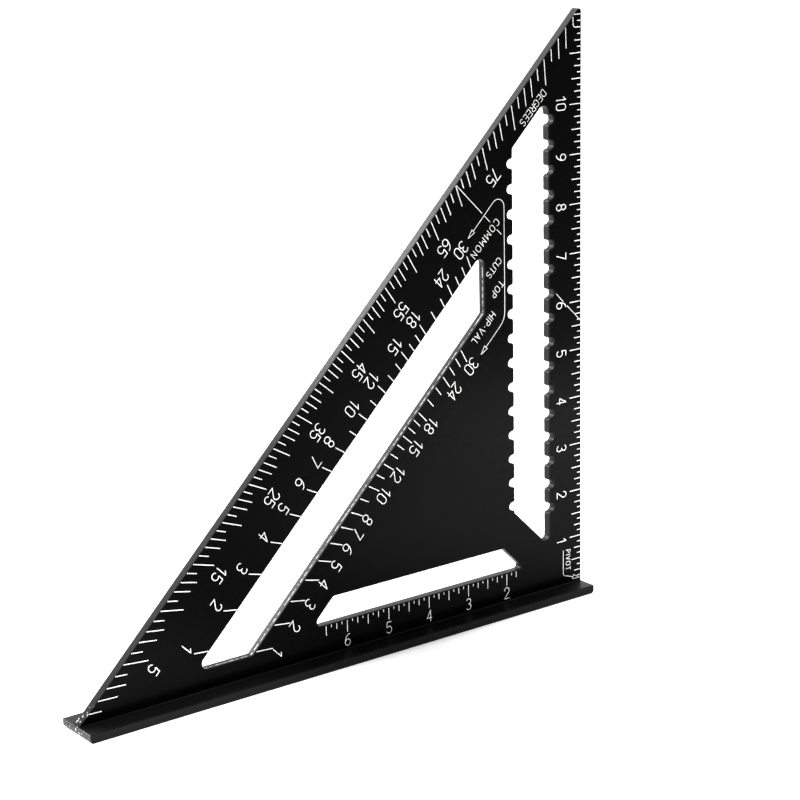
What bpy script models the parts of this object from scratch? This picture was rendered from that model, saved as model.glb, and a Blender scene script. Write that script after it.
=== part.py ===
"""Twelve inch rafter square (speed square): a flat right-angled blade standing on a cross fence.

Metres, +Z up. The origin is on the middle of the fence's underside, X runs along the fence
with the pivot corner at +X, and the marked face of the blade looks towards -Y.
Plate coordinates (x, z) are measured from the pivot corner: x is negative along the fence,
and z is the height above the fence's bearing face, which is the zero of every scale.
"""

import math

import bmesh
import bpy
from mathutils import Matrix, Vector

INCH = 0.0254
MESH_GAP = 0.0003

# Overall sizes.
LEG = 0.3031
BLADE_THICKNESS = 0.0047
TIP_FLAT = 0.002
TIP_RADIUS = 0.0013

FENCE_WIDTH = 0.026
FENCE_THICKNESS = 0.0045
FENCE_END_UNDERSIDE_RADIUS = 0.002
FENCE_END_TOP_RADIUS = 0.0004

# Slanted slot beside the degree rail.
DEGREE_RAIL = 0.0368
SLANT_SLOT_WIDTH = 0.0228
SLANT_SLOT_SILL = 0.0106
SLANT_SLOT_SETBACK = 0.0635
SLANT_SLOT_SHARP_RADIUS = 0.003
SLANT_SLOT_WIDE_RADIUS = 0.001

# Notched scribing slot beside the inch rail.
INCH_RAIL = 0.0215
NOTCHED_SLOT_WIDTH = 0.0234
NOTCHED_SLOT_TOP_RAIL = 0.0156
NOTCHED_SLOT_APEX_RADIUS = 0.0033
NOTCHED_SLOT_SHOULDER_RADIUS = 0.003
NOTCHED_SLOT_FOOT_RADIUS = 0.0003
NOTCHED_SLOT_TOE_RADIUS = 0.0025

NOTCH_PITCH = 0.5 * INCH
NOTCH_STAGGER = 0.25 * INCH
NOTCH_DEPTH = 0.0035
NOTCH_ROOT_RADIUS = 0.0023
NOTCH_LIP_RADIUS = 0.0012

# Window over the base rule, and the strut that runs to the pivot corner.
HIP_RAIL = 0.0209
BASE_RULE_HEIGHT = 0.0156
BASE_WINDOW_HEIGHT = 0.0136
BASE_WINDOW_RADII = (0.0025, 0.0015, 0.001, 0.002)
STRUT_ABOVE_PIVOT = 0.0016
STRUT_WIDTH = 0.0182

ARC_STEP = math.radians(15)


def clear_scene():
    for obj in list(bpy.data.objects):
        bpy.data.objects.remove(obj, do_unlink=True)


def new_collection(name):
    collection = bpy.data.collections.new(name)
    bpy.context.scene.collection.children.link(collection)
    return collection


def anodised(name, colour, roughness):
    material = bpy.data.materials.new(name)
    material.use_nodes = True
    shader = material.node_tree.nodes["Principled BSDF"]
    shader.inputs["Base Color"].default_value = (*colour, 1)
    shader.inputs["Metallic"].default_value = 0.6
    shader.inputs["Roughness"].default_value = roughness
    return material


def arc(centre, radius, start, end):
    """Points along a circle from one angle to another, ends included."""
    steps = max(2, math.ceil(abs(end - start) / ARC_STEP))
    angles = [start + (end - start) * i / steps for i in range(steps + 1)]
    return [centre + radius * Vector((math.cos(a), math.sin(a))) for a in angles]


def rounded_corner(before, corner, after, radius):
    """The arc that is tangent to both sides of a corner."""
    along_in = (before - corner).normalized()
    along_out = (after - corner).normalized()
    half_angle = along_in.angle(along_out) / 2
    start = corner + along_in * radius / math.tan(half_angle)
    centre = corner + (along_in + along_out).normalized() * radius / math.sin(half_angle)
    first = start - centre
    turn = math.pi - 2 * half_angle
    side = 1 if along_in.cross(along_out) < 0 else -1
    angle = math.atan2(first.y, first.x)
    return arc(centre, radius, angle, angle + side * turn)


def rounded_polygon(corners, radii):
    """Every corner of a polygon, each with its own radius."""
    count = len(corners)
    points = []
    for i, radius in enumerate(radii):
        points += rounded_corner(corners[i - 1], corners[i], corners[(i + 1) % count], radius)
    return points


def on_slant(perpendicular, x):
    """The point at x on the line that runs parallel to the hypotenuse, this far inside it."""
    return Vector((x, LEG - perpendicular * math.sqrt(2) + x))


def slant_at_height(perpendicular, z):
    return Vector((z - LEG + perpendicular * math.sqrt(2), z))


def on_strut(perpendicular, x):
    """The point at x on a 45 degree line that passes this far above the pivot corner."""
    return Vector((x, perpendicular * math.sqrt(2) - x))


def strut_at_height(perpendicular, z):
    return Vector((perpendicular * math.sqrt(2) - z, z))


def blade_outline():
    """Right-angled triangle with a cut tip, standing just clear of the fence."""
    tip_height = LEG - TIP_FLAT
    pivot = Vector((0, MESH_GAP))
    tip = Vector((0, tip_height))
    tip_back = Vector((-TIP_FLAT, tip_height))
    heel = Vector((MESH_GAP - LEG, MESH_GAP))
    rounded_tip = rounded_corner(pivot, tip, tip_back, TIP_RADIUS)
    rounded_tip += rounded_corner(tip, tip_back, heel, TIP_RADIUS)
    return [pivot, *rounded_tip, heel]


def slant_slot_outline():
    lower = DEGREE_RAIL + SLANT_SLOT_WIDTH
    corners = [
        on_slant(DEGREE_RAIL, -SLANT_SLOT_SETBACK),
        on_slant(lower, -SLANT_SLOT_SETBACK),
        slant_at_height(lower, SLANT_SLOT_SILL),
        slant_at_height(DEGREE_RAIL, SLANT_SLOT_SILL),
    ]
    radii = (
        SLANT_SLOT_SHARP_RADIUS,
        SLANT_SLOT_WIDE_RADIUS,
        SLANT_SLOT_WIDE_RADIUS,
        SLANT_SLOT_SHARP_RADIUS,
    )
    return rounded_polygon(corners, radii)


def base_window_outline():
    left = DEGREE_RAIL + SLANT_SLOT_WIDTH + HIP_RAIL
    right = STRUT_ABOVE_PIVOT - STRUT_WIDTH
    top = BASE_RULE_HEIGHT + BASE_WINDOW_HEIGHT
    corners = [
        slant_at_height(left, BASE_RULE_HEIGHT),
        strut_at_height(right, BASE_RULE_HEIGHT),
        strut_at_height(right, top),
        slant_at_height(left, top),
    ]
    return rounded_polygon(corners, BASE_WINDOW_RADII)


def notch_half_mouth():
    """Half the height of a notch where its lips meet the straight land."""
    reach = NOTCH_LIP_RADIUS + NOTCH_ROOT_RADIUS
    offset = NOTCH_DEPTH - NOTCH_ROOT_RADIUS - NOTCH_LIP_RADIUS
    return math.sqrt(reach**2 - offset**2)


def notch(land, height, side):
    """A round-bottomed notch with rolled lips, walked upwards. side is +1 into the inch rail."""
    lip = Vector((NOTCH_LIP_RADIUS, notch_half_mouth()))
    root = Vector((NOTCH_DEPTH - NOTCH_ROOT_RADIUS, 0))
    opening = math.atan2(lip.y, lip.x - root.x)
    lower_lip = arc(Vector((lip.x, -lip.y)), NOTCH_LIP_RADIUS, math.pi, math.pi - opening)
    bottom = arc(root, NOTCH_ROOT_RADIUS, -opening, opening)
    upper_lip = arc(lip, NOTCH_LIP_RADIUS, math.pi + opening, math.pi)
    profile = lower_lip[:-1] + bottom + upper_lip[1:]
    return [Vector((land + side * p.x, height + p.y)) for p in profile]


def notches_between(low, high, stagger):
    """Heights of the notches that fit whole between two ends of a land."""
    room = notch_half_mouth()
    heights = []
    height = stagger
    while height + room < high:
        if height - room > low:
            heights.append(height)
        height += NOTCH_PITCH
    return heights


def notched_slot_outline():
    near = -INCH_RAIL
    far = -INCH_RAIL - NOTCHED_SLOT_WIDTH
    corners = [
        on_strut(STRUT_ABOVE_PIVOT, near),
        on_slant(NOTCHED_SLOT_TOP_RAIL, near),
        on_slant(NOTCHED_SLOT_TOP_RAIL, far),
        on_strut(STRUT_ABOVE_PIVOT, far),
    ]
    radii = (
        NOTCHED_SLOT_TOE_RADIUS,
        NOTCHED_SLOT_APEX_RADIUS,
        NOTCHED_SLOT_SHOULDER_RADIUS,
        NOTCHED_SLOT_FOOT_RADIUS,
    )
    toe, apex, shoulder, foot = (
        rounded_corner(corners[i - 1], corners[i], corners[(i + 1) % 4], radii[i])
        for i in range(4)
    )
    outline = list(toe)
    for height in notches_between(toe[-1].y, apex[0].y, NOTCH_STAGGER):
        outline += notch(near, height, 1)
    outline += apex + shoulder
    for height in reversed(notches_between(foot[0].y, shoulder[-1].y, 0)):
        outline += reversed(notch(far, height, -1))
    return outline + foot


def flat_solid(name, outlines, thickness, placing, material, collection):
    """A closed plate made from flat outlines, the later ones being holes in the first."""
    curve = bpy.data.curves.new(name + "_outline", "CURVE")
    curve.dimensions = "2D"
    curve.fill_mode = "BOTH"
    curve.extrude = thickness / 2
    for outline in outlines:
        spline = curve.splines.new("POLY")
        spline.points.add(len(outline) - 1)
        for point, place in zip(spline.points, outline):
            point.co = (place.x, place.y, 0, 1)
        spline.use_cyclic_u = True
    guide = bpy.data.objects.new(name + "_outline", curve)
    collection.objects.link(guide)
    guide.matrix_world = placing
    bpy.context.view_layer.update()
    graph = bpy.context.evaluated_depsgraph_get()
    mesh = bpy.data.meshes.new_from_object(guide.evaluated_get(graph))
    bpy.data.objects.remove(guide, do_unlink=True)

    shape = bmesh.new()
    shape.from_mesh(mesh)
    bmesh.ops.remove_doubles(shape, verts=shape.verts, dist=0.00001)
    bmesh.ops.recalc_face_normals(shape, faces=shape.faces)
    shape.to_mesh(mesh)
    shape.free()

    mesh.name = name
    mesh.materials.clear()
    mesh.materials.append(material)
    solid = bpy.data.objects.new(name, mesh)
    collection.objects.link(solid)
    solid.matrix_world = placing
    return solid


def blade(collection):
    """The web of the extrusion, sawn to a triangle and milled through for its three windows."""
    upright = Matrix.Rotation(math.pi / 2, 4, "X")
    pivot_corner = Matrix.Translation((LEG / 2, 0, FENCE_THICKNESS))
    outlines = [
        blade_outline(),
        slant_slot_outline(),
        notched_slot_outline(),
        base_window_outline(),
    ]
    finish = anodised("black_anodised_web", (0.012, 0.012, 0.013), 0.3)
    return flat_solid("blade", outlines, BLADE_THICKNESS, pivot_corner @ upright, finish, collection)


def fence(collection):
    """The cross foot of the extrusion, which hooks over a board's edge. Its ends are eased below."""
    half_length = LEG / 2
    corners = [
        Vector((-half_length, 0)),
        Vector((half_length, 0)),
        Vector((half_length, FENCE_THICKNESS)),
        Vector((-half_length, FENCE_THICKNESS)),
    ]
    radii = (
        FENCE_END_UNDERSIDE_RADIUS,
        FENCE_END_UNDERSIDE_RADIUS,
        FENCE_END_TOP_RADIUS,
        FENCE_END_TOP_RADIUS,
    )
    outline = rounded_polygon(corners, radii)
    upright = Matrix.Rotation(math.pi / 2, 4, "X")
    finish = anodised("black_anodised_foot", (0.013, 0.013, 0.014), 0.32)
    return flat_solid("fence", [outline], FENCE_WIDTH, upright, finish, collection)


clear_scene()
parts = new_collection("rafter_square")
blade(parts)
fence(parts)
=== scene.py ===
"""Looks of a twelve inch rafter square: black anodised extrusion with white-filled scales."""

import math

import bpy
import numpy as np
from mathutils import Matrix, Vector
from mathutils.geometry import delaunay_2d_cdt


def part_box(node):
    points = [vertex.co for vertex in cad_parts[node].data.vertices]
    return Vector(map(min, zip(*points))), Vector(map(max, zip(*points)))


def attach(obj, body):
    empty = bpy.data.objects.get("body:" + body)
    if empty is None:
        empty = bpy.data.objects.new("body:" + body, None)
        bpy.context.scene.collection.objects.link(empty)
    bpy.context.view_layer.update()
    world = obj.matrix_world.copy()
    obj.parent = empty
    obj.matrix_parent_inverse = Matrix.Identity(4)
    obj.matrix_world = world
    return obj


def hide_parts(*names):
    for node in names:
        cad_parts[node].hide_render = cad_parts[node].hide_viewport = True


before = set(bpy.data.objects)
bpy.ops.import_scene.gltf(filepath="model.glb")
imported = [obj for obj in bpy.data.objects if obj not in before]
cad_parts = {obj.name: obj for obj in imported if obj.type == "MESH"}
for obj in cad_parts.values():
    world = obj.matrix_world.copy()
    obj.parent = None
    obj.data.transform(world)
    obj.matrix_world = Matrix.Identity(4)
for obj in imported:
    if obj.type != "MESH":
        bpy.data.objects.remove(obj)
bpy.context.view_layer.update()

# ---------------------------------------------------------------------------------------------
# Degree scale
# The long scale along the hypotenuse. Every degree is a straight cut aimed at the pivot corner,
# engraved by a round-nosed cutter into the black web and wiped full of white enamel.
# ---------------------------------------------------------------------------------------------

web_low, web_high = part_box("blade")
foot_low, foot_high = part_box("fence")
PIVOT_X = web_high.x
ROOT_Z = foot_high.z
FACE_Y = web_low.y
BACK_Y = web_high.y
LEG = foot_high.x - foot_low.x
FRONT = 1
BACK = -1
SIDES = (FRONT, BACK)
SIDE_Y = {FRONT: FACE_Y, BACK: BACK_Y}

INCH = 0.0254
ROOT2 = math.sqrt(2)
LINE_WIDTH = 0.00048
ENGRAVED_DEPTH = 0.00014
ENAMEL_SUNK = 0.00003
OUTER_EDGE_RADIUS = 0.00028
WINDOW_EDGE_RADIUS = 0.0005
EDGE_CLEARANCE = 0.00003

DEGREE_LENGTHS = {0: 0.0106, 1: 0.0052, 2: 0.0080, 3: 0.0080, 4: 0.0052}
DEGREE_FIRST = 1
DEGREE_LAST = 88
DEGREE_NUMERAL_CAP = 0.0069
DEGREE_NUMERAL_DEPTH = 0.01605
DEGREE_NUMERAL_AIM_DEPTH = 0.0093
DEGREE_NUMERAL_BACK_SHIFT = 0.0011
NUMERAL_SPACING = 0.15
NUMBERED_DEGREES = range(5, 80, 10)

CAP_STEPS = 4
ARC_STEP = math.radians(15)
# The mitre of a sharp corner is no longer than half the width over this.
MITRE_LIMIT = 0.4
SAME_POINT = 1e-7
MILLIMETRES = 1000
SOLVER_TOLERANCE = 1e-5


def polar(angle):
    """Unit vector or vectors at an angle: (cosine, sine) as the last axis."""
    return np.stack((np.cos(angle), np.sin(angle)), axis=-1)


def bow(centre, radii, start, end):
    """Part of an ellipse: centre plus (radius x cosine, radius y sine) from one angle to another."""
    start = math.radians(start)
    end = math.radians(end)
    count = max(2, math.ceil(abs(end - start) / ARC_STEP)) + 1
    return np.array(centre) + np.array(radii) * polar(np.linspace(start, end, count))


def path(*points):
    """A line through these points, joining any arcs among them end to end."""
    return np.concatenate([np.atleast_2d(np.array(p, float)) for p in points])


def ribbon(line, width):
    """Outline of one cut: the line moved half a width to each side along its mitred normals, and
    closed round each end by a half circle."""
    steps = np.diff(line, axis=0)
    steps = steps / np.linalg.norm(steps, axis=1, keepdims=True)
    arriving = np.concatenate((steps[:1], steps))
    leaving = np.concatenate((steps, steps[-1:]))
    along = arriving + leaving
    along = along / np.linalg.norm(along, axis=1, keepdims=True)
    mitre = 1 / np.maximum((along * arriving).sum(axis=1, keepdims=True), MITRE_LIMIT)
    normal = np.stack((-along[:, 1], along[:, 0]), axis=1) * mitre
    half = width / 2
    turn = np.linspace(-90, 90, CAP_STEPS + 1)[1:-1]
    heading_out = math.atan2(*steps[-1][::-1])
    heading_in = math.atan2(*steps[0][::-1])
    far_cap = line[-1] + half * polar(np.radians(turn) + heading_out)
    near_cap = line[0] + half * polar(np.radians(turn + 180) + heading_in)
    right = line - half * normal
    left = line + half * normal
    return np.concatenate((right, far_cap, left[::-1], near_cap))


def aimed(angle, slant):
    """Where the ray from the pivot at this angle above the fence meets the line z - x = slant."""
    return slant / (math.cos(angle) + math.sin(angle)) * np.array((-math.cos(angle), math.sin(angle)))


def slant_of(depth):
    """The constant z - x of the line this far inside the hypotenuse."""
    return LEG - depth * ROOT2


def ray_tick(angle, slant_from, slant_to):
    return np.array((aimed(angle, slant_from), aimed(angle, slant_to)))


def sum_and_slant(total, slant):
    """The point with x + z = total and z - x = slant."""
    return np.array(((total - slant) / 2, (total + slant) / 2))


def on_slant(depth, along):
    """The point this far inside the hypotenuse with x + z = along."""
    return sum_and_slant(along, slant_of(depth))


# Each sign is a width and its strokes, in a box one unit high.
DIGIT_WIDTH = 0.51
SIGNS = {
    "0": (DIGIT_WIDTH, [
        path(bow((0.255, 0.745), (0.255, 0.255), 90, 180), bow((0.255, 0.255), (0.255, 0.255), 180, 270)),
        path(bow((0.255, 0.255), (0.255, 0.255), -90, 0), bow((0.255, 0.745), (0.255, 0.255), 0, 90)),
    ]),
    "1": (DIGIT_WIDTH, [path((0.33, 0), (0.33, 1)), path((0.33, 1), (0.1, 0.75))]),
    "2": (DIGIT_WIDTH, [
        path(bow((0.25, 0.72), (0.25, 0.28), 175, -28), (0, 0)),
        path((0, 0), (0.51, 0)),
    ]),
    "3": (DIGIT_WIDTH, [
        path(bow((0.25, 0.76), (0.23, 0.24), 150, -90)),
        path(bow((0.25, 0.26), (0.26, 0.26), 90, -150)),
    ]),
    "4": (DIGIT_WIDTH, [
        path((0.38, 0), (0.38, 1)),
        path((0.38, 1), (0, 0.3)),
        path((0, 0.3), (0.51, 0.3)),
    ]),
    "5": (DIGIT_WIDTH, [
        path((0.46, 1), (0.05, 1)),
        path((0.05, 1), (0.02, 0.55)),
        path(bow((0.25, 0.31), (0.26, 0.31), 135, -150)),
    ]),
    "6": (DIGIT_WIDTH, [
        path(bow((0.46, 0.28), (0.46, 0.72), 93, 180)),
        path(bow((0.255, 0.28), (0.255, 0.28), 0, 180)),
        path(bow((0.255, 0.28), (0.255, 0.28), 180, 360)),
    ]),
    "7": (DIGIT_WIDTH, [path((0, 1), (0.51, 1)), path((0.51, 1), (0.15, 0))]),
    "8": (DIGIT_WIDTH, [
        path(bow((0.255, 0.76), (0.22, 0.24), -90, 90)),
        path(bow((0.255, 0.76), (0.22, 0.24), 90, 270)),
        path(bow((0.255, 0.26), (0.255, 0.26), -90, 90)),
        path(bow((0.255, 0.26), (0.255, 0.26), 90, 270)),
    ]),
    "9": (DIGIT_WIDTH, [
        path(bow((0.05, 0.72), (0.46, 0.72), -87, 0)),
        path(bow((0.255, 0.72), (0.255, 0.28), 0, 180)),
        path(bow((0.255, 0.72), (0.255, 0.28), 180, 360)),
    ]),
}


def lettering(text, centre, up, height, spacing, side):
    """The strokes of a line of text: each sign is scaled to the height and set beside the last one,
    and the whole is turned so that it reads from whichever side of the web it is cut in."""
    height = height - LINE_WIDTH
    up = np.array(up, float) / np.linalg.norm(up)
    reading = side * np.array((up[1], -up[0]))
    widths = np.array([SIGNS[letter][0] for letter in text])
    starts = np.concatenate(((0,), np.cumsum(widths + spacing)))
    length = starts[-1] - spacing
    strokes = []
    for letter, start in zip(text, starts):
        for stroke in SIGNS[letter][1]:
            across = (stroke[:, :1] + start - length / 2) * height
            rise = (stroke[:, 1:] - 0.5) * height
            strokes.append(centre + across * reading + rise * up)
    return strokes


def degree_scale(side):
    strokes = []
    edge = slant_of(OUTER_EDGE_RADIUS + EDGE_CLEARANCE + LINE_WIDTH / 2)
    for degree in range(DEGREE_FIRST, DEGREE_LAST + 1):
        length = DEGREE_LENGTHS[degree % 5]
        strokes.append(ray_tick(math.radians(degree), edge, slant_of(length - LINE_WIDTH / 2)))
    for degree in NUMBERED_DEGREES:
        aim = aimed(math.radians(degree), slant_of(DEGREE_NUMERAL_AIM_DEPTH)).sum()
        centre = on_slant(DEGREE_NUMERAL_DEPTH, aim - DEGREE_NUMERAL_BACK_SHIFT * ROOT2)
        strokes += lettering(str(degree), centre, (1, -1), DEGREE_NUMERAL_CAP, NUMERAL_SPACING, side)
    return strokes


def mesh_from(name, points, faces):
    """A flat shaded mesh of triangles or quads from arrays of points and of corner numbers."""
    mesh = bpy.data.meshes.new(name)
    faces = [np.asarray(group) for group in faces if len(group)]
    mesh.vertices.add(len(points))
    mesh.vertices.foreach_set("co", np.asarray(points, np.float32).ravel())
    corners = np.concatenate([group.ravel() for group in faces])
    sizes = np.concatenate([np.full(len(group), group.shape[1]) for group in faces])
    mesh.loops.add(len(corners))
    mesh.loops.foreach_set("vertex_index", corners.astype(np.int32))
    mesh.polygons.add(len(sizes))
    mesh.polygons.foreach_set("loop_start", (np.cumsum(sizes) - sizes).astype(np.int32))
    mesh.polygons.foreach_set("use_smooth", np.zeros(len(sizes), bool))
    mesh.update(calc_edges=True)
    return mesh


def per_face(values, groups):
    """The value of each group of faces, once for every face in it."""
    return np.repeat(values, [len(group) for group in groups])


def show(name, mesh, material):
    """Puts a mesh in the scene, riding on the tool's one rigid body."""
    mesh.materials.append(material)
    piece = bpy.data.objects.new(name, mesh)
    bpy.context.scene.collection.objects.link(piece)
    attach(piece, "root")
    return piece


def in_row(flat, y):
    """Places plate coordinates (x from the pivot, z from the bearing face) at a depth in the row frame."""
    return np.column_stack((flat[:, 0] + PIVOT_X, np.full(len(flat), y), flat[:, 1] + ROOT_Z))


def triangulated(outlines):
    """Triangles of overlapping flat outlines, with for each triangle the outlines that hold it."""
    sizes = [len(outline) for outline in outlines]
    starts = np.cumsum(sizes) - sizes
    points = [Vector(p) for p in np.concatenate(outlines) * MILLIMETRES]
    faces = [list(range(start, start + size)) for start, size in zip(starts, sizes)]
    found = delaunay_2d_cdt(points, [], faces, 0, SOLVER_TOLERANCE)
    flat = np.array([tuple(p) for p in found[0]]) / MILLIMETRES
    return flat, np.array(found[2]), found[5]


def rim_of(triangles):
    """The directed edges that only one of these triangles has."""
    edges = np.concatenate((triangles[:, [0, 1]], triangles[:, [1, 2]], triangles[:, [2, 0]]))
    most = triangles.max() + 1
    codes = edges[:, 0] * most + edges[:, 1]
    return edges[~np.isin(edges[:, 1] * most + edges[:, 0], codes)]


def slab(flat, triangles, top, bottom):
    """A closed flat body: the triangles at both depths, joined round their rim by upright quads."""
    count = len(flat)
    points = np.concatenate((in_row(flat, top), in_row(flat, bottom)))
    rim = rim_of(triangles)
    walls = np.column_stack((rim[:, 1], rim[:, 0], rim[:, 0] + count, rim[:, 1] + count))
    lid = triangles
    floor = triangles[:, ::-1] + count
    if bottom < top:
        lid, floor, walls = lid[:, ::-1], floor[:, ::-1], walls[:, ::-1]
    return points, lid, floor, walls


engraved = {FRONT: [], BACK: []}


def enamel_material(name, wear):
    """White enamel: a little warmer and greyer where it is worn, matt, with a fine grain."""
    material = bpy.data.materials.new(name)
    material.use_nodes = True
    nodes = material.node_tree.nodes
    links = material.node_tree.links
    shader = nodes["Principled BSDF"]
    place = nodes.new("ShaderNodeTexCoord")
    blotch = nodes.new("ShaderNodeTexNoise")
    blotch.inputs["Scale"].default_value = 160
    blotch.inputs["Detail"].default_value = 4
    tint = nodes.new("ShaderNodeValToRGB")
    tint.color_ramp.elements[0].position = 0.30
    tint.color_ramp.elements[0].color = (wear, wear, wear * 0.97, 1)
    tint.color_ramp.elements[1].position = 0.52
    tint.color_ramp.elements[1].color = (0.93, 0.93, 0.92, 1)
    grain = nodes.new("ShaderNodeTexNoise")
    grain.inputs["Scale"].default_value = 4000
    bump = nodes.new("ShaderNodeBump")
    bump.inputs["Strength"].default_value = 0.15
    bump.inputs["Distance"].default_value = 0.00003
    gloss = nodes.new("ShaderNodeMapRange")
    gloss.inputs["To Min"].default_value = 0.42
    gloss.inputs["To Max"].default_value = 0.62
    links.new(place.outputs["Object"], blotch.inputs["Vector"])
    links.new(place.outputs["Object"], grain.inputs["Vector"])
    links.new(blotch.outputs["Fac"], tint.inputs["Fac"])
    links.new(tint.outputs["Color"], shader.inputs["Base Color"])
    links.new(grain.outputs["Fac"], gloss.inputs["Value"])
    links.new(gloss.outputs["Result"], shader.inputs["Roughness"])
    links.new(grain.outputs["Fac"], bump.inputs["Height"])
    links.new(bump.outputs["Normal"], shader.inputs["Normal"])
    return material


white_enamel = enamel_material("white_enamel", 0.72)


def engrave(name, strokes_for, sides=SIDES, width=LINE_WIDTH):
    """Cuts a set of marks in each side of the web and fills them with one piece of enamel."""
    points = []
    groups = []
    base = 0
    for side in sides:
        outlines = [ribbon(stroke, width) for stroke in strokes_for(side)]
        engraved[side] += outlines
        flat, triangles, owners = triangulated(outlines)
        inked = triangles[np.array([len(held) > 0 for held in owners])]
        face = SIDE_Y[side]
        body = slab(flat, inked, face + side * ENAMEL_SUNK, face + side * ENGRAVED_DEPTH)
        points.append(body[0])
        groups += [group + base for group in body[1:]]
        base += len(body[0])
    piece = show(name, mesh_from(name, np.concatenate(points), groups), white_enamel)


engrave("degree_scale", degree_scale)

# ---------------------------------------------------------------------------------------------
# Common rafter scale
# Rises of one to thirty in a run of twelve, cut outwards from the upper edge of the slanted
# slot, every mark aimed at the pivot corner. Enamelled like the degree scale.
# ---------------------------------------------------------------------------------------------

DEGREE_RAIL = 0.0368
SLANT_SLOT_WIDTH = 0.0228
RAFTER_NUMERAL_CAP = 0.0069
NUMBERED_RISES = (1, 2, 3, 4, 5, 6, 7, 8, 10, 12, 15, 18, 24, 30)
PLAIN_RISES = (9, 11, 13, 14, 16, 17, 20, 22, 26, 28)

COMMON_RUN = 12
COMMON_NUMBERED_LENGTH = 0.0068
COMMON_PLAIN_LENGTH = 0.0055
COMMON_NUMERAL_DEPTH = 0.02503


def rafter_scale(run, edge_depth, outward, numbered_length, plain_length, numeral_depth, side):
    """Marks at the angle whose tangent is rise over run, from the slot's edge to their own length,
    with the rise beside the outer end of each numbered one."""
    strokes = []
    margin = WINDOW_EDGE_RADIUS + EDGE_CLEARANCE + LINE_WIDTH / 2
    start = slant_of(edge_depth - outward * margin)
    for rises, length in ((NUMBERED_RISES, numbered_length), (PLAIN_RISES, plain_length)):
        end = slant_of(edge_depth - outward * (length - LINE_WIDTH / 2))
        strokes += [ray_tick(math.atan(rise / run), start, end) for rise in rises]
    aim_slant = slant_of(edge_depth - outward * numbered_length)
    for rise in NUMBERED_RISES:
        along = aimed(math.atan(rise / run), aim_slant).sum()
        centre = on_slant(numeral_depth, along)
        strokes += lettering(str(rise), centre, (1, -1), RAFTER_NUMERAL_CAP, NUMERAL_SPACING, side)
    return strokes


def common_scale(side):
    return rafter_scale(
        COMMON_RUN, DEGREE_RAIL, 1, COMMON_NUMBERED_LENGTH, COMMON_PLAIN_LENGTH, COMMON_NUMERAL_DEPTH, side
    )


engrave("common_rafter_scale", common_scale, (FRONT,))

# ---------------------------------------------------------------------------------------------
# Hip and valley scale
# The same rises in a run of seventeen, cut inwards from the lower edge of the slanted slot.
# ---------------------------------------------------------------------------------------------

HIP_RUN = 17
HIP_NUMBERED_LENGTH = 0.0077
HIP_PLAIN_LENGTH = 0.0060
HIP_NUMERAL_DEPTH = 0.0712


def hip_scale(side):
    lower_edge = DEGREE_RAIL + SLANT_SLOT_WIDTH
    return rafter_scale(
        HIP_RUN, lower_edge, -1, HIP_NUMBERED_LENGTH, HIP_PLAIN_LENGTH, HIP_NUMERAL_DEPTH, side
    )


engrave("hip_valley_scale", hip_scale, (FRONT,))

# ---------------------------------------------------------------------------------------------
# Upright rule
# Inches and eighths up the square edge, read from the fence's bearing face. The half inch mark
# nearest the tip carries on round a corner into the last degree mark.
# ---------------------------------------------------------------------------------------------

EIGHTH = INCH / 8
RULE_LENGTHS = {0: 0.0077, 4: 0.0064, 2: 0.0046, 6: 0.0046}
EIGHTH_LENGTH = 0.0027
RULE_LAST_EIGHTH = 94
RULE_NUMERAL_CAP = 0.0066
RULE_NUMERAL_MIDDLE = -0.0133
RULE_NUMERAL_DROP = 0.0006
RULE_NUMERAL_PITCH = 0.0038
LAST_FULL_INCH = 10
LAST_DEGREE_EIGHTH = 92
LAST_DEGREE_X = -0.0053
LAST_DEGREE_TOP = 0.2970
LAST_DEGREE_CORNER = 0.0017


def rounded(points, radius):
    """An open line with each inner corner replaced by an arc tangent to both its sides, which starts
    radius over the tangent of half the corner's angle away from it."""
    points = [np.array(p, float) for p in points]
    pieces = [points[0]]
    for before, corner, after in zip(points, points[1:], points[2:]):
        pieces.append(corner_arc(before, corner, after, radius))
    return path(*pieces, points[-1])


def corner_arc(before, corner, after, radius):
    into = (before - corner) / np.linalg.norm(before - corner)
    out = (after - corner) / np.linalg.norm(after - corner)
    half_angle = math.acos(np.clip(into @ out, -1, 1)) / 2
    centre = corner + (into + out) / np.linalg.norm(into + out) * radius / math.sin(half_angle)
    first = corner + into * radius / math.tan(half_angle) - centre
    turn = math.pi - 2 * half_angle
    side = 1 if into[0] * out[1] - into[1] * out[0] < 0 else -1
    count = max(2, math.ceil(turn / ARC_STEP)) + 1
    start = math.atan2(first[1], first[0])
    return centre + radius * polar(start + side * np.linspace(0, turn, count))


def upright_rule(side):
    strokes = []
    edge = -(OUTER_EDGE_RADIUS + EDGE_CLEARANCE + LINE_WIDTH / 2)
    for eighth in range(1, RULE_LAST_EIGHTH + 1):
        length = RULE_LENGTHS.get(eighth % 8, EIGHTH_LENGTH) - LINE_WIDTH / 2
        height = eighth * EIGHTH
        if eighth == LAST_DEGREE_EIGHTH:
            turn = ((edge, height), (LAST_DEGREE_X, height), (LAST_DEGREE_X, LAST_DEGREE_TOP))
            strokes.append(rounded(turn, LAST_DEGREE_CORNER))
            continue
        strokes.append(np.array(((edge, height), (-length, height))))
    for inch in range(1, LAST_FULL_INCH + 1):
        first_digit_room = (len(str(inch)) - 1) * RULE_NUMERAL_PITCH / 2
        centre = (RULE_NUMERAL_MIDDLE, inch * INCH - RULE_NUMERAL_DROP + first_digit_room)
        strokes += lettering(str(inch), centre, (1, 0), RULE_NUMERAL_CAP, NUMERAL_SPACING, side)
    return strokes


engrave("upright_rule", upright_rule)

# ---------------------------------------------------------------------------------------------
# Base rule
# Inches and eighths from the pivot along the foot of the web, under the long window, for
# setting a line parallel to the board's edge.
# ---------------------------------------------------------------------------------------------

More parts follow.
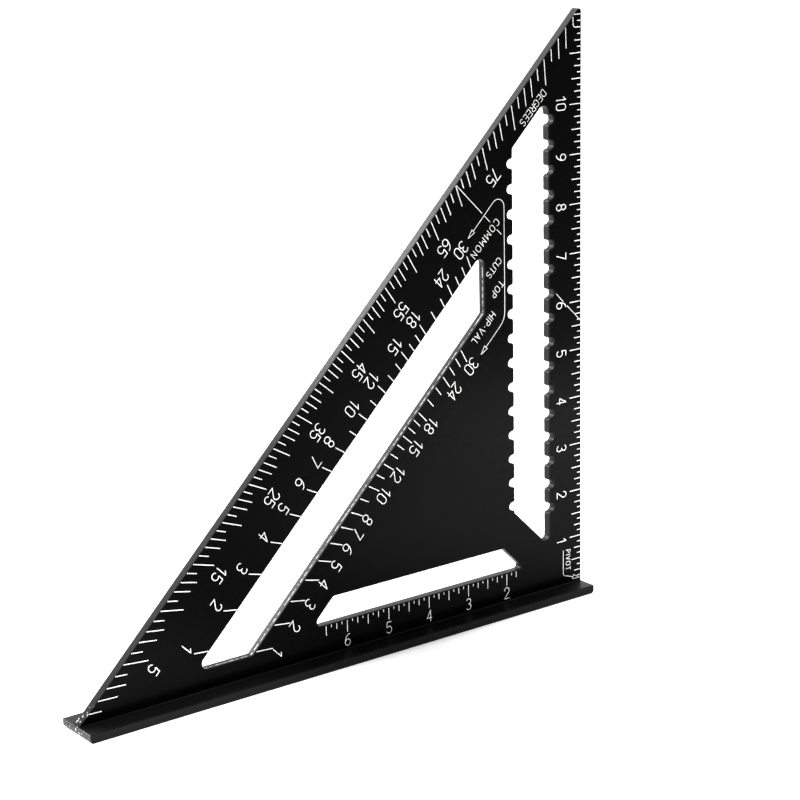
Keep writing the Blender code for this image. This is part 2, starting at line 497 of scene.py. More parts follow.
BASE_RULE_HEIGHT = 0.0156
BASE_LENGTHS = {0: 0.0068, 4: 0.0056, 2: 0.0037, 6: 0.0037}
BASE_EIGHTH_LENGTH = 0.0020
BASE_FIRST_EIGHTH = 14
BASE_LAST_EIGHTH = 52
BASE_NUMBERED_INCHES = range(2, 7)
BASE_NUMERAL_CAP = 0.0064
BASE_NUMERAL_MIDDLE = 0.0047
BASE_LINE_WIDTH = 0.0004


def base_rule(side):
    strokes = []
    edge = BASE_RULE_HEIGHT - (WINDOW_EDGE_RADIUS + EDGE_CLEARANCE + LINE_WIDTH / 2)
    for eighth in range(BASE_FIRST_EIGHTH, BASE_LAST_EIGHTH + 1):
        length = BASE_LENGTHS.get(eighth % 8, BASE_EIGHTH_LENGTH) - LINE_WIDTH / 2
        x = -eighth * EIGHTH
        strokes.append(np.array(((x, edge), (x, BASE_RULE_HEIGHT - length))))
    for inch in BASE_NUMBERED_INCHES:
        centre = (-inch * INCH, BASE_NUMERAL_MIDDLE)
        strokes += lettering(str(inch), centre, (0, 1), BASE_NUMERAL_CAP, NUMERAL_SPACING, side)
    return strokes


engrave("base_rule", base_rule, width=BASE_LINE_WIDTH)

# ---------------------------------------------------------------------------------------------
# Scale names
# The trade's own words for what each scale measures, cut in the same single-line letters.
# ---------------------------------------------------------------------------------------------

NAME_LINE_WIDTH = 0.00034

SIGNS.update({
    "A": (0.6, [path((0, 0), (0.3, 1)), path((0.3, 1), (0.6, 0)), path((0.12, 0.36), (0.48, 0.36))]),
    "C": (0.6, [path(bow((0.33, 0.67), (0.33, 0.33), 35, 180), bow((0.33, 0.33), (0.33, 0.33), 180, 325))]),
    "D": (0.6, [
        path((0, 0), (0, 1)),
        path((0, 1), bow((0.28, 0.68), (0.32, 0.32), 90, 0),
             bow((0.28, 0.32), (0.32, 0.32), 0, -90), (0, 0)),
    ]),
    "E": (0.5, [path((0, 0), (0, 1)), path((0, 1), (0.5, 1)), path((0, 0.52), (0.42, 0.52)),
                path((0, 0), (0.5, 0))]),
    "G": (0.6, [
        path(bow((0.33, 0.67), (0.33, 0.33), 35, 180), bow((0.33, 0.33), (0.33, 0.33), 180, 360)),
        path((0.66, 0.33), (0.66, 0.45)),
        path((0.66, 0.45), (0.36, 0.45)),
    ]),
    "H": (0.6, [path((0, 0), (0, 1)), path((0.6, 0), (0.6, 1)), path((0, 0.5), (0.6, 0.5))]),
    "I": (0.0, [path((0, 0), (0, 1))]),
    "L": (0.46, [path((0, 1), (0, 0)), path((0, 0), (0.46, 0))]),
    "M": (0.74, [path((0, 0), (0, 1)), path((0, 1), (0.37, 0.3)), path((0.37, 0.3), (0.74, 1)),
                 path((0.74, 1), (0.74, 0))]),
    "N": (0.6, [path((0, 0), (0, 1)), path((0, 1), (0.6, 0)), path((0.6, 0), (0.6, 1))]),
    "O": (0.66, [
        path(bow((0.33, 0.67), (0.33, 0.33), 90, 180), bow((0.33, 0.33), (0.33, 0.33), 180, 270)),
        path(bow((0.33, 0.33), (0.33, 0.33), -90, 0), bow((0.33, 0.67), (0.33, 0.33), 0, 90)),
    ]),
    "P": (0.56, [path((0, 0), (0, 1)), path((0, 1), bow((0.3, 0.74), (0.26, 0.26), 90, -90), (0, 0.48))]),
    "R": (0.58, [
        path((0, 0), (0, 1)),
        path((0, 1), bow((0.3, 0.74), (0.26, 0.26), 90, -90), (0, 0.48)),
        path((0.3, 0.48), (0.58, 0)),
    ]),
    "S": (0.56, [
        path(bow((0.28, 0.745), (0.27, 0.255), 30, 270), bow((0.28, 0.25), (0.28, 0.25), 75, -150)),
    ]),
    "T": (0.6, [path((0.3, 0), (0.3, 1)), path((0, 1), (0.6, 1))]),
    "U": (0.6, [path((0, 1), bow((0.3, 0.3), (0.3, 0.3), 180, 360), (0.6, 1))]),
    "V": (0.64, [path((0, 1), (0.32, 0)), path((0.32, 0), (0.64, 1))]),
    "-": (0.16, [path((0, 0.5), (0.16, 0.5))]),
})

# Word, z - x of its middle line, x + z of its middle, height, spacing.
SLANTED_WORDS = (
    ("DEGREES", 0.2862, 0.2233, 0.0043, 0.27),
    ("COMMON", 0.2560, 0.13075, 0.0042, 0.42),
    ("CUTS", 0.2352, 0.1205, 0.0040, 0.25),
    ("TOP", 0.2220, 0.1115, 0.0040, 0.36),
    ("HIP-VAL", 0.2125, 0.08375, 0.0042, 0.33),
)
PIVOT_WORD_X = -0.0088
PIVOT_WORD_Z = 0.0132
PIVOT_WORD_HEIGHT = 0.0034
PIVOT_WORD_SPACING = 0.34


def scale_names(side):
    strokes = []
    for word, slant, along, height, spacing in SLANTED_WORDS:
        centre = sum_and_slant(along, slant)
        strokes += lettering(word, centre, (1, -1), height, spacing, side)
    pivot_centre = (PIVOT_WORD_X, PIVOT_WORD_Z)
    strokes += lettering("PIVOT", pivot_centre, (1, 0), PIVOT_WORD_HEIGHT, PIVOT_WORD_SPACING, side)
    return strokes


engrave("scale_names", scale_names, (FRONT,), NAME_LINE_WIDTH)

# ---------------------------------------------------------------------------------------------
# Guide lines
# Thin lines that lead from the words to the scales they name, each ending in a hollow arrow,
# the 45 degree line across both rails, and the arrow that points at the pivot corner.
# ---------------------------------------------------------------------------------------------

ARROW_LENGTH = 0.0044
ARROW_HALF_WIDTH = 0.0012
GUIDE_LINE_WIDTH = 0.00035
MITRE_SUM = 0.1417
FRAME_X = -0.0506
FRAME_OUTER_SLANT = 0.2683
FRAME_INNER_SLANT = 0.2012
FRAME_TOP_RADIUS = 0.0040
FRAME_FOOT_RADIUS = 0.0100
COMMON_ARROW_SUM = 0.1216
HIP_ARROW_SUM = 0.0689
# Stretches of the 45 degree line, as the z - x where each starts and ends.
MITRE_STRETCHES = (
    (0.3030, 0.2700), (0.2673, 0.2603), (0.2520, 0.2460), (0.1750, 0.1650), (0.1605, 0.1420)
)
PIVOT_LINE_X = -0.0122
PIVOT_LINE_TOP = 0.0190
PIVOT_LINE_FOOT = 0.0052
PIVOT_LINE_RADIUS = 0.0016
PIVOT_ARROW_TIP = (-0.0012, 0.0017)
PIVOT_ARROW_HEADING = (1, -0.3)


def hollow_arrow(tip, toward):
    """A thin triangle outline: its tip, and two back corners set either side of its own line."""
    tip = np.array(tip, float)
    toward = np.array(toward, float) / np.linalg.norm(toward)
    aside = np.array((-toward[1], toward[0])) * ARROW_HALF_WIDTH
    back = tip - toward * ARROW_LENGTH
    return [path(tip, back + aside), path(back + aside, back - aside), path(back - aside, tip)], back


def guide_lines(side):
    strokes = []
    rail_inner = LINE_WIDTH / 2 + OUTER_EDGE_RADIUS + EDGE_CLEARANCE
    for start, end in MITRE_STRETCHES:
        start = min(start, LEG - rail_inner * ROOT2)
        end = end + rail_inner * ROOT2
        strokes.append(path(sum_and_slant(MITRE_SUM, start), sum_and_slant(MITRE_SUM, end)))
    outer_tip = sum_and_slant(COMMON_ARROW_SUM, FRAME_OUTER_SLANT)
    inner_tip = sum_and_slant(HIP_ARROW_SUM, FRAME_INNER_SLANT)
    outer_arrow, outer_back = hollow_arrow(outer_tip, (-1, -1))
    inner_arrow, inner_back = hollow_arrow(inner_tip, (-1, -1))
    outer_corner = (FRAME_X, FRAME_X + FRAME_OUTER_SLANT)
    inner_corner = (FRAME_X, FRAME_X + FRAME_INNER_SLANT)
    middle = (FRAME_X, (outer_corner[1] + inner_corner[1]) / 2)
    strokes += outer_arrow + inner_arrow
    strokes.append(rounded((outer_back, outer_corner, middle), FRAME_TOP_RADIUS))
    strokes.append(rounded((middle, inner_corner, inner_back), FRAME_FOOT_RADIUS))
    pivot_arrow, pivot_back = hollow_arrow(PIVOT_ARROW_TIP, PIVOT_ARROW_HEADING)
    strokes += pivot_arrow
    pivot_line = ((PIVOT_LINE_X, PIVOT_LINE_TOP), (PIVOT_LINE_X, PIVOT_LINE_FOOT), pivot_back)
    strokes.append(rounded(pivot_line, PIVOT_LINE_RADIUS))
    return strokes


engrave("guide_lines", guide_lines, (FRONT,), GUIDE_LINE_WIDTH)

# ---------------------------------------------------------------------------------------------
# Web
# The upright wall of the extruded aluminium section, sawn to a right-angled triangle, milled
# through for three windows, black anodised all over, and engraved after that.
# ---------------------------------------------------------------------------------------------

TIP_FLAT = 0.002
TIP_RADIUS = 0.0013
SLANT_SLOT_SILL = 0.0106
SLANT_SLOT_SETBACK = 0.0635
SLANT_SLOT_RADII = (0.003, 0.001, 0.001, 0.003)
INCH_RAIL = 0.0215
NOTCHED_SLOT_WIDTH = 0.0234
NOTCHED_SLOT_TOP_RAIL = 0.0156
NOTCHED_SLOT_RADII = (0.0025, 0.0033, 0.003, 0.0003)
NOTCH_PITCH = 0.5 * INCH
NOTCH_STAGGER = 0.25 * INCH
NOTCH_DEPTH = 0.0035
NOTCH_ROOT_RADIUS = 0.0023
NOTCH_LIP_RADIUS = 0.0012
HIP_RAIL = 0.0209
BASE_WINDOW_HEIGHT = 0.0136
BASE_WINDOW_RADII = (0.0025, 0.0015, 0.001, 0.002)
STRUT_ABOVE_PIVOT = 0.0016
STRUT_WIDTH = 0.0182
ROOT_OVERLAP = 0.0002
EDGE_ROUNDING_STEPS = 3
EDGE_RADII = (OUTER_EDGE_RADIUS, WINDOW_EDGE_RADIUS, WINDOW_EDGE_RADIUS, WINDOW_EDGE_RADIUS)


def slant_point(depth, x):
    return np.array((x, slant_of(depth) + x))


def slant_at_height(depth, z):
    return np.array((z - slant_of(depth), z))


def strut_point(above, x):
    """The point at x on a 45 degree line that falls to the right, this far above the pivot corner."""
    return np.array((x, above * ROOT2 - x))


def strut_at_height(above, z):
    return np.array((above * ROOT2 - z, z))


def corner_arcs(corners, radii):
    """The rounded corners of a closed outline, one arc each."""
    before = corners[-1:] + corners[:-1]
    after = corners[1:] + corners[:1]
    return [corner_arc(*corner) for corner in zip(before, corners, after, radii)]


def web_outline():
    tip = LEG - TIP_FLAT
    corners = [
        np.array((0, -ROOT_OVERLAP)), np.array((0, tip)),
        np.array((-TIP_FLAT, tip)), np.array((-LEG, 0.0)),
    ]
    arcs = corner_arcs(corners, (TIP_RADIUS,) * 4)
    return path(corners[0], arcs[1], arcs[2], corners[3])


def slant_slot():
    lower = DEGREE_RAIL + SLANT_SLOT_WIDTH
    corners = [
        slant_point(DEGREE_RAIL, -SLANT_SLOT_SETBACK), slant_point(lower, -SLANT_SLOT_SETBACK),
        slant_at_height(lower, SLANT_SLOT_SILL), slant_at_height(DEGREE_RAIL, SLANT_SLOT_SILL),
    ]
    return path(*corner_arcs(corners, SLANT_SLOT_RADII))


def base_window():
    left = DEGREE_RAIL + SLANT_SLOT_WIDTH + HIP_RAIL
    right = STRUT_ABOVE_PIVOT - STRUT_WIDTH
    top = BASE_RULE_HEIGHT + BASE_WINDOW_HEIGHT
    corners = [
        slant_at_height(left, BASE_RULE_HEIGHT), strut_at_height(right, BASE_RULE_HEIGHT),
        strut_at_height(right, top), slant_at_height(left, top),
    ]
    return path(*corner_arcs(corners, BASE_WINDOW_RADII))[::-1]


NOTCH_REACH = NOTCH_LIP_RADIUS + NOTCH_ROOT_RADIUS
NOTCH_ROOT_INSET = NOTCH_DEPTH - NOTCH_ROOT_RADIUS
NOTCH_HALF_MOUTH = math.sqrt(NOTCH_REACH**2 - (NOTCH_ROOT_INSET - NOTCH_LIP_RADIUS)**2)


def notch(land, height, side):
    """A round-bottomed notch with rolled lips: a lip arc, the root arc and the other lip arc, each
    tangent to the next."""
    lip = np.array((NOTCH_LIP_RADIUS, NOTCH_HALF_MOUTH))
    opening = math.degrees(math.atan2(lip[1], lip[0] - NOTCH_ROOT_INSET))
    lower = bow((lip[0], -lip[1]), (NOTCH_LIP_RADIUS,) * 2, 180, 180 - opening)
    bottom = bow((NOTCH_ROOT_INSET, 0), (NOTCH_ROOT_RADIUS,) * 2, -opening, opening)
    upper = bow(lip, (NOTCH_LIP_RADIUS,) * 2, 180 + opening, 180)
    return path(lower[:-1], bottom, upper[1:]) * (side, 1) + (land, height)


def notch_heights(low, high, stagger):
    heights = stagger + NOTCH_PITCH * np.arange(math.ceil(LEG / NOTCH_PITCH))
    return heights[(heights - NOTCH_HALF_MOUTH > low) & (heights + NOTCH_HALF_MOUTH < high)]


def notched_slot():
    near = -INCH_RAIL
    far = -INCH_RAIL - NOTCHED_SLOT_WIDTH
    corners = [
        strut_point(STRUT_ABOVE_PIVOT, near), slant_point(NOTCHED_SLOT_TOP_RAIL, near),
        slant_point(NOTCHED_SLOT_TOP_RAIL, far), strut_point(STRUT_ABOVE_PIVOT, far),
    ]
    toe, apex, shoulder, foot = corner_arcs(corners, NOTCHED_SLOT_RADII)
    near_heights = notch_heights(toe[-1][1], apex[0][1], NOTCH_STAGGER)
    far_heights = notch_heights(foot[0][1], shoulder[-1][1], 0)
    near_notches = [notch(near, height, 1) for height in near_heights]
    far_notches = [notch(far, height, -1)[::-1] for height in far_heights[::-1]]
    return path(toe, *near_notches, apex, shoulder, *far_notches, foot)[::-1]


def inset(loop, distance):
    """A closed outline moved to its left by a distance, along the mitred normal of each corner."""
    into = loop - np.roll(loop, 1, axis=0)
    out = np.roll(loop, -1, axis=0) - loop
    into = into / np.linalg.norm(into, axis=1, keepdims=True)
    out = out / np.linalg.norm(out, axis=1, keepdims=True)
    middle = into + out
    middle = middle / np.linalg.norm(middle, axis=1, keepdims=True)
    mitre = distance / (middle * into).sum(axis=1, keepdims=True)
    return loop + np.stack((-middle[:, 1], middle[:, 0]), axis=1) * mitre


def rim_wall(loop, place, top, bottom, radius):
    """The wall round an outline with both its edges rounded: rings inset by radius (1 - sin a) and
    sunk by radius (1 - cos a) as a goes from 0 to 90 degrees, at the top and mirrored at the bottom."""
    turn = np.linspace(0, math.pi / 2, EDGE_ROUNDING_STEPS + 1)
    insets = radius * (1 - np.sin(turn))
    sinks = radius * (1 - np.cos(turn))
    inward = 1 if bottom > top else -1
    rings = [place(inset(loop, i), top + inward * s) for i, s in zip(insets, sinks)]
    rings += [place(inset(loop, i), bottom - inward * s) for i, s in zip(insets[::-1], sinks[::-1])]
    count = len(loop)
    here = np.arange(count)
    after = np.roll(here, -1)
    quads = [
        np.column_stack((here, here + count, after + count, after)) + k * count
        for k in range(len(rings) - 1)
    ]
    return np.concatenate(rings), np.concatenate(quads)


def tidy_loop(loop):
    """Drops points that repeat the one before."""
    gap = np.linalg.norm(loop - np.roll(loop, 1, axis=0), axis=1)
    return loop[gap > SAME_POINT]


def web_face(loops, side):
    """One flat face of the web with its marks sunk in it: the plain triangles lie on the face, those
    inside a mark lie at the engraved depth, and quads join the two round every mark."""
    flat_loops = [inset(loop, radius) for loop, radius in zip(loops, EDGE_RADII)]
    outlines = flat_loops[:1] + [loop[::-1] for loop in flat_loops[1:]] + engraved[side]
    flat, triangles, owners = triangulated(outlines)
    holes = len(loops) - 1
    solid = np.array([0 in held and not any(1 <= n <= holes for n in held) for held in owners])
    marked = np.array([any(n > holes for n in held) for held in owners])
    face = SIDE_Y[side]
    floor = face + side * ENGRAVED_DEPTH
    count = len(flat)
    points = np.concatenate((in_row(flat, face), in_row(flat, floor)))
    plain = triangles[solid & ~marked]
    sunk = triangles[solid & marked]
    rim = rim_of(sunk)
    walls = np.column_stack((rim[:, 0], rim[:, 1], rim[:, 1] + count, rim[:, 0] + count))
    groups = [plain, sunk + count, walls]
    if side == BACK:
        groups = [group[:, ::-1] for group in groups]
    return points, groups


def web_mesh():
    loops = [tidy_loop(loop) for loop in (web_outline(), slant_slot(), notched_slot(), base_window())]
    points = []
    groups = []
    materials = []
    smooth = []
    base = 0
    for side in SIDES:
        face_points, face_groups = web_face(loops, side)
        points.append(face_points)
        groups += [group + base for group in face_groups]
        materials += [0, 0, 0]
        smooth += [False, False, False]
        base += len(face_points)
    for loop, radius, finish in zip(loops, EDGE_RADII, (1, 2, 1, 1)):
        wall_points, quads = rim_wall(loop, in_row, FACE_Y, BACK_Y, radius)
        points.append(wall_points)
        groups.append(quads + base)
        materials.append(finish)
        smooth.append(True)
        base += len(wall_points)
    mesh = mesh_from("web", np.concatenate(points), groups)
    mesh.polygons.foreach_set("material_index", per_face(materials, groups).astype(np.int32))
    mesh.polygons.foreach_set("use_smooth", per_face(smooth, groups))
    mesh.update()
    return mesh


def anodised_material(name, colour, dull, streak_scale, streak_depth, shine):
    """Black anodised aluminium: fine lines along one direction that change both its roughness and its
    height a little, over slow cloudy changes of the dye."""
    material = bpy.data.materials.new(name)
    material.use_nodes = True
    nodes = material.node_tree.nodes
    links = material.node_tree.links
    shader = nodes["Principled BSDF"]
    shader.inputs["Specular IOR Level"].default_value = shine
    place = nodes.new("ShaderNodeTexCoord")
    stretch = nodes.new("ShaderNodeMapping")
    stretch.inputs["Scale"].default_value = streak_scale
    lines = nodes.new("ShaderNodeTexNoise")
    lines.name = "lines"
    lines.inputs["Scale"].default_value = 1
    lines.inputs["Detail"].default_value = 5
    lines.inputs["Roughness"].default_value = 0.6
    cloud = nodes.new("ShaderNodeTexNoise")
    cloud.inputs["Scale"].default_value = 14
    cloud.inputs["Detail"].default_value = 3
    tint = nodes.new("ShaderNodeValToRGB")
    tint.name = "tint"
    tint.color_ramp.elements[0].position = 0.3
    tint.color_ramp.elements[0].color = tuple(0.75 * c for c in colour) + (1,)
    tint.color_ramp.elements[1].position = 0.7
    tint.color_ramp.elements[1].color = tuple(1.25 * c for c in colour) + (1,)
    gloss = nodes.new("ShaderNodeMapRange")
    gloss.inputs["From Min"].default_value = 0.3
    gloss.inputs["From Max"].default_value = 0.7
    gloss.inputs["To Min"].default_value = dull - 0.05
    gloss.inputs["To Max"].default_value = dull + 0.05
    bump = nodes.new("ShaderNodeBump")
    bump.inputs["Strength"].default_value = 0.6
    bump.inputs["Distance"].default_value = streak_depth
    links.new(place.outputs["Object"], stretch.inputs["Vector"])
    links.new(place.outputs["Object"], cloud.inputs["Vector"])
    links.new(stretch.outputs["Vector"], lines.inputs["Vector"])
    links.new(cloud.outputs["Fac"], tint.inputs["Fac"])
    links.new(tint.outputs["Color"], shader.inputs["Base Color"])
    links.new(lines.outputs["Fac"], gloss.inputs["Value"])
    links.new(gloss.outputs["Result"], shader.inputs["Roughness"])
    links.new(lines.outputs["Fac"], bump.inputs["Height"])
    links.new(bump.outputs["Normal"], shader.inputs["Normal"])
    return material


ALONG_THE_EXTRUSION = (25, 900, 900)
# The painted highlight line on the slanted slot's wall: how far in from the face it lies, and its half
# width.
HIGHLIGHT_LINE_DEPTH = 0.0016
HIGHLIGHT_LINE_HALF_WIDTH = 0.0004


def scored_wall_material(name, colour, highlight_brightness):
    """The wall of the slanted slot, with a painted highlight: a thin bright line a third of the way in,
    broken into dashes, stands in for light caught along the wall. The line is a band of depth,
    multiplied by a noise stretched along the wall."""
    material = anodised_material(name, colour, 0.38, (700, 60, 700), 0.00001, 0.1)
    nodes = material.node_tree.nodes
    links = material.node_tree.links
    shader = nodes["Principled BSDF"]
    place = nodes.new("ShaderNodeTexCoord")
    split = nodes.new("ShaderNodeSeparateXYZ")
    away = nodes.new("ShaderNodeMath")
    away.operation = "SUBTRACT"
    away.inputs[1].default_value = FACE_Y + HIGHLIGHT_LINE_DEPTH
    distance = nodes.new("ShaderNodeMath")
    distance.operation = "ABSOLUTE"
    # A band of painted highlight, strongest on the line itself and fading over its half width.
    highlight_band = nodes.new("ShaderNodeMapRange")
    highlight_band.interpolation_type = "SMOOTHSTEP"
    highlight_band.inputs["From Min"].default_value = HIGHLIGHT_LINE_HALF_WIDTH
    highlight_band.inputs["From Max"].default_value = HIGHLIGHT_LINE_HALF_WIDTH / 4
    dashes = nodes.new("ShaderNodeTexNoise")
    dashes.inputs["Scale"].default_value = 620
    dashes.inputs["Detail"].default_value = 2
    lit_dashes = nodes.new("ShaderNodeMapRange")
    lit_dashes.inputs["From Min"].default_value = 0.42
    lit_dashes.inputs["From Max"].default_value = 0.58
    both = nodes.new("ShaderNodeMath")
    both.operation = "MULTIPLY"
    paint = nodes.new("ShaderNodeMix")
    paint.data_type = "RGBA"
    paint.inputs["B"].default_value = (highlight_brightness, highlight_brightness, highlight_brightness * 1.02, 1)
    links.new(place.outputs["Object"], split.inputs["Vector"])
    links.new(split.outputs["Y"], away.inputs[0])
    links.new(away.outputs["Value"], distance.inputs[0])
    links.new(distance.outputs["Value"], highlight_band.inputs["Value"])
    links.new(place.outputs["Object"], dashes.inputs["Vector"])
    links.new(dashes.outputs["Fac"], lit_dashes.inputs["Value"])
    links.new(highlight_band.outputs["Result"], both.inputs[0])
    links.new(lit_dashes.outputs["Result"], both.inputs[1])
    links.new(both.outputs["Value"], paint.inputs["Factor"])
    links.new(nodes["tint"].outputs["Color"], paint.inputs["A"])
    links.new(paint.outputs["Result"], shader.inputs["Base Color"])
    return material


HEEL = (PIVOT_X - LEG, 0, ROOT_Z)
WORN_FROM_HEEL = 0.004
WORN_TO_HEEL = 0.013


def chipped_heel(material):
    """Knocks on the heel: bare metal shows in small spots, where a fine noise is high, thinning out
    with the distance from the heel."""
    nodes = material.node_tree.nodes
    links = material.node_tree.links
    place = nodes.new("ShaderNodeTexCoord")
    away = nodes.new("ShaderNodeVectorMath")
    away.operation = "DISTANCE"
    away.inputs[1].default_value = HEEL
    near = nodes.new("ShaderNodeMapRange")
    near.inputs["From Min"].default_value = WORN_TO_HEEL
    near.inputs["From Max"].default_value = WORN_FROM_HEEL
    knocks = nodes.new("ShaderNodeTexNoise")
    knocks.inputs["Scale"].default_value = 700
    knocks.inputs["Detail"].default_value = 1
    bare = nodes.new("ShaderNodeMapRange")
    bare.inputs["From Min"].default_value = 0.62
    bare.inputs["From Max"].default_value = 0.67
    both = nodes.new("ShaderNodeMath")
    both.operation = "MULTIPLY"
    metal = nodes.new("ShaderNodeMix")
    metal.data_type = "RGBA"
    metal.inputs["B"].default_value = (0.75, 0.75, 0.76, 1)
    links.new(place.outputs["Object"], away.inputs[0])
    links.new(place.outputs["Object"], knocks.inputs["Vector"])
    links.new(away.outputs["Value"], near.inputs["Value"])
    links.new(knocks.outputs["Fac"], bare.inputs["Value"])
    links.new(near.outputs["Result"], both.inputs[0])
    links.new(bare.outputs["Result"], both.inputs[1])
    links.new(both.outputs["Value"], metal.inputs["Factor"])
    links.new(nodes["tint"].outputs["Color"], metal.inputs["A"])
    links.new(metal.outputs["Result"], nodes["Principled BSDF"].inputs["Base Color"])


extruded_face = anodised_material(
    "extruded_face", (0.0005, 0.0005, 0.0006), 0.23, ALONG_THE_EXTRUSION, 0.000004, 0.022
)
sawn_edge = anodised_material("sawn_edge", (0.004, 0.004, 0.0045), 0.36, (900, 40, 900), 0.00001, 0.1)
# The slanted slot's wall carries a painted highlight: a bright dashed line in its base colour.
slot_wall_painted_highlight = scored_wall_material("slot_wall_painted_highlight", (0.003, 0.003, 0.0035), 0.45)

chipped_heel(sawn_edge)

web = show("web", web_mesh(), extruded_face)
web.data.materials.append(sawn_edge)
web.data.materials.append(slot_wall_painted_highlight)
web.modifiers.new("true_faces", "WEIGHTED_NORMAL")
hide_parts("blade")

# ---------------------------------------------------------------------------------------------
# Foot
# The cross flange of the same extrusion, sawn off at both ends and eased there on its underside.
# It hooks over the edge of a board, and a small fillet on each side joins it to the web.
# ---------------------------------------------------------------------------------------------

FOOT_END_RADII = (0.002, 0.002, 0.0004, 0.0004)
FOOT_EDGE_RADIUS = 0.0004
FILLET_RADIUS = 0.0005
FILLET_STEPS = 5
# A face whose normal leans at least this much along the foot belongs to a sawn end.
SAWN_NORMAL = 0.2


def foot_profile():
    """The foot seen from the front: a long bar whose ends are eased below and barely broken above."""
    corners = [
        np.array((-LEG, foot_low.z - ROOT_Z)), np.array((0, foot_low.z - ROOT_Z)),
        np.array((0, 0)), np.array((-LEG, 0)),
    ]
    return path(*corner_arcs(corners, FOOT_END_RADII))


def root_fillet(side):
    """A quarter hollow swept from end to end of the root: it starts on the web, ends on the foot, and
    its centre is one radius out from each."""
    face = SIDE_Y[side]
    sweep = np.linspace(0, math.pi / 2, FILLET_STEPS)
    y = np.append(face - side * FILLET_RADIUS * (1 - np.cos(sweep)), face + side * FILLET_RADIUS / 2)
    z = np.append(ROOT_Z + FILLET_RADIUS * (1 - np.sin(sweep)), ROOT_Z - ROOT_OVERLAP)
    profile = np.column_stack((y, z))
    profile[-2, 1] -= ROOT_OVERLAP / 4
    ends = (foot_low.x + FOOT_EDGE_RADIUS, foot_high.x - FOOT_EDGE_RADIUS)
    points = np.concatenate([np.column_stack((np.full(len(profile), x), profile)) for x in ends])
    count = len(profile)
    here = np.arange(count)
    after = np.roll(here, -1)
    quads = np.column_stack((here, here + count, after + count, after))
    fan = np.column_stack((np.zeros(count - 2, int), here[1:-1], here[2:]))
    groups = [quads, fan, fan[:, ::-1] + count]
    if side == BACK:
        groups = [group[:, ::-1] for group in groups]
    return points, groups


def foot_mesh():
    profile = foot_profile()
    wall_points, quads = rim_wall(profile, in_row, foot_low.y, foot_high.y, FOOT_EDGE_RADIUS)
    count = len(profile)
    last = len(wall_points) - count
    points = [wall_points]
    groups = [quads, np.arange(count)[None, :], (np.arange(count)[::-1] + last)[None, :]]
    smooth = [True, False, False]
    base = len(wall_points)
    for side in SIDES:
        fillet_points, fillet_groups = root_fillet(side)
        points.append(fillet_points)
        groups += [group + base for group in fillet_groups]
        smooth += [True, False, False]
        base += len(fillet_points)
    mesh = mesh_from("foot", np.concatenate(points), groups)
    mesh.polygons.foreach_set("use_smooth", per_face(smooth, groups))
    normals = np.empty(3 * len(mesh.polygons), np.float32)
    mesh.polygons.foreach_get("normal", normals)
    sawn = np.abs(normals.reshape(-1, 3)[:, 0]) > SAWN_NORMAL
    mesh.polygons.foreach_set("material_index", sawn.astype(np.int32))
    mesh.update()
    return mesh


extruded_foot = anodised_material(
    "extruded_foot", (0.003, 0.003, 0.0033), 0.34, ALONG_THE_EXTRUSION, 0.000005, 0.07
)
sawn_end = anodised_material("sawn_end", (0.008, 0.008, 0.0085), 0.42, (900, 60, 900), 0.00001, 0.15)
chipped_heel(sawn_end)

foot = show("foot", foot_mesh(), extruded_foot)
foot.data.materials.append(sawn_end)
foot.modifiers.new("true_faces", "WEIGHTED_NORMAL")
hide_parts("fence")

# ---------------------------------------------------------------------------------------------
# Floor, lights and camera
# A plain white table that the tool stands on, soft studio light from above and behind, narrow
# spots on the table whose pools of light the black face mirrors, and a long lens that looks down
# a little at the face of the web from beyond its heel.
# ---------------------------------------------------------------------------------------------

FLOOR_HALF = 6.0
FLOOR_COLOUR = (0.9, 0.9, 0.9, 1)
FLOOR_GLOW = 0.32
ROOM_LIGHT = 0.65
WHITE = (1, 1, 1, 1)

floor_mesh = bpy.data.meshes.new("floor")
floor_mesh.from_pydata(
    [(-FLOOR_HALF, -FLOOR_HALF, 0), (FLOOR_HALF, -FLOOR_HALF, 0), (FLOOR_HALF, FLOOR_HALF, 0),
     (-FLOOR_HALF, FLOOR_HALF, 0)],
    [], [(0, 1, 2, 3)],
)
floor_paint = bpy.data.materials.new("floor_paint")
floor_paint.use_nodes = True
floor_shader = floor_paint.node_tree.nodes["Principled BSDF"]
floor_shader.inputs["Base Color"].default_value = FLOOR_COLOUR
floor_shader.inputs["Roughness"].default_value = 0.9
floor_shader.inputs["Specular IOR Level"].default_value = 0.0
floor_shader.inputs["Emission Color"].default_value = WHITE
floor_shader.inputs["Emission Strength"].default_value = FLOOR_GLOW
floor_mesh.materials.append(floor_paint)
floor = bpy.data.objects.new("floor", floor_mesh)
bpy.context.scene.collection.objects.link(floor)

world = bpy.data.worlds.new("studio")
world.use_nodes = True
world.node_tree.nodes["Background"].inputs["Color"].default_value = WHITE
world.node_tree.nodes["Background"].inputs["Strength"].default_value = ROOM_LIGHT
bpy.context.scene.world = world
bpy.context.scene.view_settings.view_transform = "Standard"


def hang(name, data, place, aim):
    """Puts a lamp at its place, facing its aim."""
    light = bpy.data.objects.new(name, data)
    bpy.context.scene.collection.objects.link(light)
    light.location = place
    light.rotation_euler = (Vector(aim) - Vector(place)).to_track_quat("-Z", "Y").to_euler()


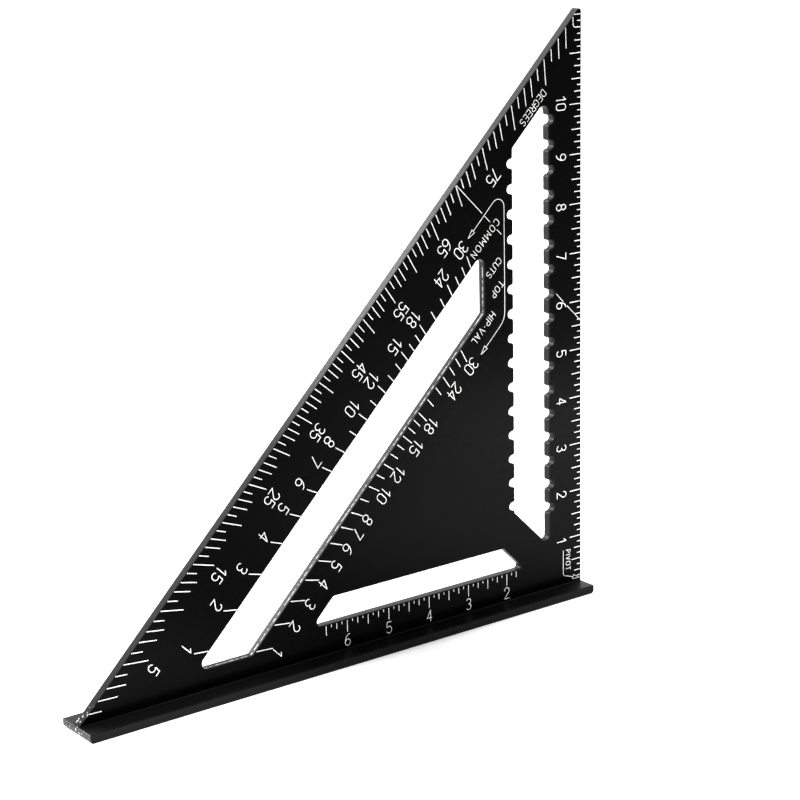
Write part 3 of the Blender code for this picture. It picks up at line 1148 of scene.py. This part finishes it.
def softbox(name, place, aim, size, power):
    data = bpy.data.lights.new(name, "AREA")
    data.shape = "RECTANGLE"
    data.size, data.size_y = size
    data.energy = power
    hang(name, data, place, aim)


softbox("top_softbox", (-0.9, 1.2, 2.2), (-0.1, 0.3, 0), (2.2, 2.2), 66)
softbox("back_softbox", (-0.5, 1.5, 1.15), (0, 0, 0.15), (2.4, 2.1), 52)
softbox("low_softbox", (-0.92, 1.45, 0.78), (-0.1, 0, 0.05), (0.9, 0.8), 44)
softbox("side_softbox", (1.43, 1.93, 0.67), (0, 0, 0.1), (1.3, 0.9), 7)


SPOT_PLACE = (0.75, -0.45, 1.7)
SPOT_SIZE = 0.05


def table_spot(name, aim, spread, power, place=SPOT_PLACE):
    data = bpy.data.lights.new(name, "SPOT")
    data.energy = power
    data.spot_size = math.radians(spread)
    data.spot_blend = 1.0
    data.shadow_soft_size = SPOT_SIZE
    hang(name, data, place, aim)


table_spot("near_spot", (0.19, -0.14, 0), 9, 600)
table_spot("far_spot", (0.36, -0.26, 0), 10, 950)
table_spot("heel_spot", (-0.11, -0.07, 0), 6.5, 380, (-0.7, -0.5, 1.5))

# The camera stands 1.2 m from the pivot corner, beyond the heel and above the tip.
CAMERA_FROM_PIVOT = (-0.742775, -0.842641, 0.412428)
VIEW_RIGHT = (0.799135, -0.600789, -0.020890)
VIEW_DOWN = (-0.177142, -0.202132, -0.963205)
FOCAL_LENGTH = 100.48
SENSOR_WIDTH = 36
LENS_SHIFT = 0.000625

camera_data = bpy.data.cameras.new("camera")
camera_data.lens = FOCAL_LENGTH
camera_data.sensor_width = SENSOR_WIDTH
camera_data.shift_x = -LENS_SHIFT
camera_data.shift_y = LENS_SHIFT
camera_data.clip_end = 60
camera = bpy.data.objects.new("camera", camera_data)
bpy.context.scene.collection.objects.link(camera)
right = Vector(VIEW_RIGHT).normalized()
up = -Vector(VIEW_DOWN).normalized()
turn = Matrix((right, up, right.cross(up))).transposed()
place = Vector((PIVOT_X, FACE_Y, ROOT_Z)) + Vector(CAMERA_FROM_PIVOT)
camera.matrix_world = Matrix.Translation(place) @ turn.to_4x4()
bpy.context.scene.camera = camera
